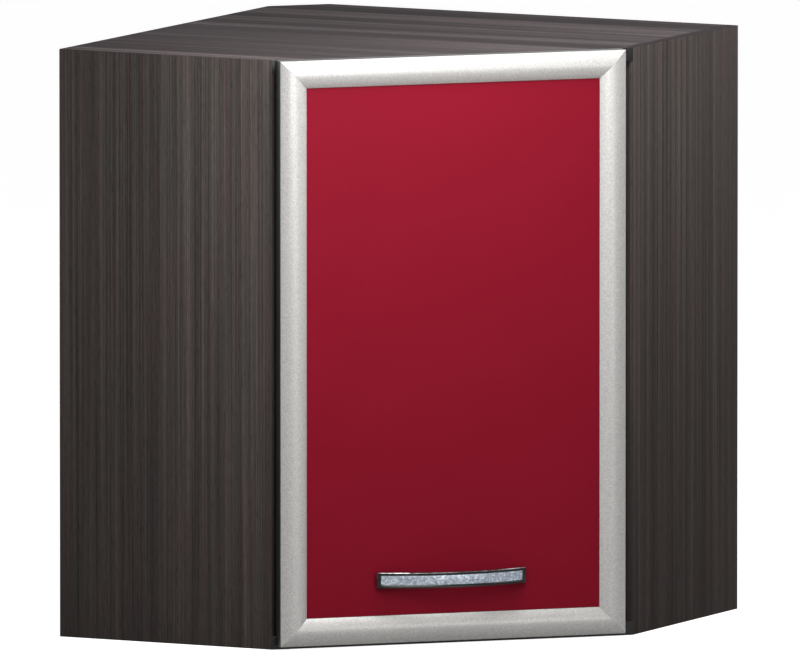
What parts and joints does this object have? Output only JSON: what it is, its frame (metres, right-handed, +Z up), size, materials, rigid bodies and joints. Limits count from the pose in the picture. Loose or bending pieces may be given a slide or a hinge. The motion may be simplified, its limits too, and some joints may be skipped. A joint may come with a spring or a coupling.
{
  "type": "corner wall cabinet",
  "caption": "Diagonal corner wall cabinet with shelves and one framed door on concealed hinges, bow handle, and hooks that hang it on a wall.",
  "frame": {"origin": "centre of the square that the two walls' legs make, on the underside of the carcass", "axes": "+Z up; +Y towards the wall behind the right-hand side panel; -X towards the wall behind the left-hand side panel, so the room corner is at -X +Y and the door faces +X -Y"},
  "size_m": [0.6033, 0.6115, 0.7],
  "materials": {
    "wood_grain_laminate": "dark streaked wood-grain laminate, satin",
    "hardboard": "brown hardboard, matt",
    "red_lacquer": "deep red satin foil on fibreboard",
    "silver_foil": "brushed silver foil on fibreboard moulding",
    "dark_edge_band": "dark satin edge band",
    "nickelled_steel": "nickel-plated pressed steel",
    "dark_chrome": "dark polished metal",
    "crackle_inlay": "silvery crackle foil strip",
    "grey_plastic": "pale grey moulded plastic",
    "clear_rubber": "clear soft dot"
  },
  "bodies": {
    "carcass": {"back_sheet_left": "hardboard", "back_sheet_right": "hardboard", "bottom_panel": "wood_grain_laminate", "corner_back_panel": "wood_grain_laminate", "left_hanger_hook": "nickelled_steel", "left_hanger_housing": "grey_plastic", "left_hanger_screw_lower": "nickelled_steel", "left_hanger_screw_upper": "nickelled_steel", "left_side_panel": "wood_grain_laminate", "lower_hinge_arm": "nickelled_steel", "lower_hinge_plate": "nickelled_steel", "lower_hinge_plate_screw_high": "nickelled_steel", "lower_hinge_plate_screw_low": "nickelled_steel", "right_hanger_hook": "nickelled_steel", "right_hanger_housing": "grey_plastic", "right_hanger_screw_lower": "nickelled_steel", "right_hanger_screw_upper": "nickelled_steel", "right_side_panel": "wood_grain_laminate", "shelf_1": "wood_grain_laminate", "shelf_1_pin_corner": "nickelled_steel", "shelf_1_pin_left_front": "nickelled_steel", "shelf_1_pin_left_rear": "nickelled_steel", "shelf_1_pin_right_front": "nickelled_steel", "shelf_1_pin_right_rear": "nickelled_steel", "shelf_2": "wood_grain_laminate", "shelf_2_pin_corner": "nickelled_steel", "shelf_2_pin_left_front": "nickelled_steel", "shelf_2_pin_left_rear": "nickelled_steel", "shelf_2_pin_right_front": "nickelled_steel", "shelf_2_pin_right_rear": "nickelled_steel", "top_panel": "wood_grain_laminate", "upper_hinge_arm": "nickelled_steel", "upper_hinge_plate": "nickelled_steel", "upper_hinge_plate_screw_high": "nickelled_steel", "upper_hinge_plate_screw_low": "nickelled_steel"},
    "outer_links": {"lower_hinge_outer_link": "nickelled_steel", "upper_hinge_outer_link": "nickelled_steel"},
    "door": {"door_bumper_lower": "clear_rubber", "door_bumper_upper": "clear_rubber", "door_edge_band_bottom": "dark_edge_band", "door_edge_band_left": "dark_edge_band", "door_edge_band_right": "dark_edge_band", "door_edge_band_top": "dark_edge_band", "door_moulding_bottom": "silver_foil", "door_moulding_left": "silver_foil", "door_moulding_right": "silver_foil", "door_moulding_top": "silver_foil", "door_panel": "red_lacquer", "handle_bow": "dark_chrome", "handle_inlay": "crackle_inlay", "handle_screw_left": "nickelled_steel", "handle_screw_right": "nickelled_steel", "lower_hinge_cup": "nickelled_steel", "lower_hinge_cup_screw_high": "nickelled_steel", "lower_hinge_cup_screw_low": "nickelled_steel", "upper_hinge_cup": "nickelled_steel", "upper_hinge_cup_screw_high": "nickelled_steel", "upper_hinge_cup_screw_low": "nickelled_steel"},
    "inner_links": {"lower_hinge_inner_link": "nickelled_steel", "upper_hinge_inner_link": "nickelled_steel"}
  },
  "joints": [
    {"name": "link_swing", "type": "hinge", "parent": "carcass", "child": "outer_links", "pos_m": [-0.0027, -0.26305, 0.35], "axis": [0, 0, 1], "range_deg": [0, 43.2]},
    {"name": "door_swing", "type": "hinge", "parent": "outer_links", "child": "door", "pos_m": [-0.00343, -0.29321, 0.35], "axis": [0, 0, -1], "range_deg": [0, 138.1]},
    {"name": "inner_link_swing", "type": "hinge", "parent": "carcass", "child": "inner_links", "pos_m": [0.014, -0.26305, 0.35], "axis": [0, 0, 1], "range_deg": [0, 42.5]}
  ],
  "couplings": [
    {"joint": "link_swing", "follows": "door_swing", "ratio": 0.31215},
    {"joint": "inner_link_swing", "follows": "door_swing", "ratio": 0.30699}
  ]
}
